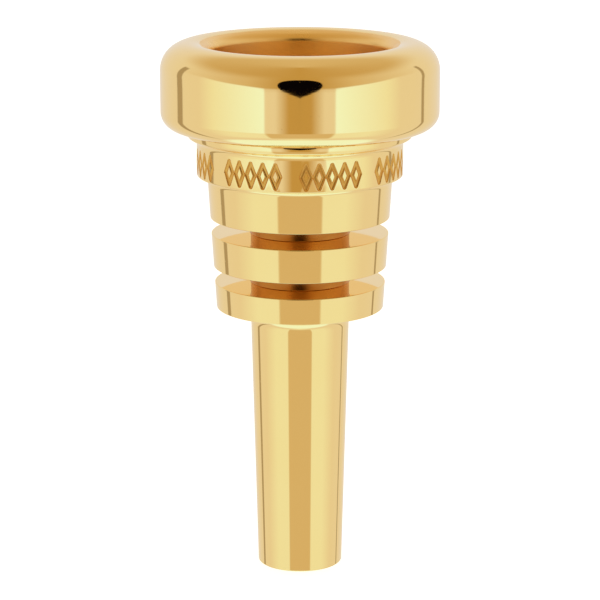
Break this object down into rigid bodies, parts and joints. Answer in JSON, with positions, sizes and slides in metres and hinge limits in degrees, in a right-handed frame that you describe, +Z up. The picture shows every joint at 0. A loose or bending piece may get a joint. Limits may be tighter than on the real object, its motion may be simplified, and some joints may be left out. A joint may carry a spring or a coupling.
{
  "type": "brass mouthpiece",
  "caption": "Large-shank low-brass mouthpiece: cushion rim, grooved cup body and tapered shank that screw apart, gold-plated.",
  "frame": {"origin": "centre of the shank's end face, on the bore's axis", "axes": "+Z up along the bore from the shank's end to the rim; the part is turned, so X and Y are alike"},
  "size_m": [0.04, 0.04, 0.0777],
  "materials": {
    "gold_plate": "turned brass, buffed and gold-plated to a mirror",
    "seal_rubber": "moulded nitrile rubber, satin black"
  },
  "bodies": {
    "shank": {"shank": "gold_plate"},
    "shank_seal_ring": {"shank_seal_ring": "seal_rubber"},
    "cup_body": {"cup_body": "gold_plate"},
    "rim_seal_ring": {"rim_seal_ring": "seal_rubber"},
    "rim": {"rim": "gold_plate"}
  },
  "joints": [
    {"name": "cup_turn", "type": "hinge", "parent": "shank", "child": "shank_seal_ring", "pos_m": [0, 0, 0.03905], "axis": [0, 0, 1], "range_deg": [0, 1440]},
    {"name": "cup_lift", "type": "slide", "parent": "shank_seal_ring", "child": "cup_body", "axis": [0, 0, 1], "range_m": [0, 0.004]},
    {"name": "rim_turn", "type": "hinge", "parent": "cup_body", "child": "rim_seal_ring", "pos_m": [0, 0, 0.0652], "axis": [0, 0, 1], "range_deg": [0, 1080]},
    {"name": "rim_lift", "type": "slide", "parent": "rim_seal_ring", "child": "rim", "axis": [0, 0, 1], "range_m": [0, 0.003]}
  ],
  "couplings": [
    {"joint": "cup_lift", "follows": "cup_turn", "m_per_rad": 0.00015915},
    {"joint": "rim_lift", "follows": "rim_turn", "m_per_rad": 0.00015915}
  ]
}
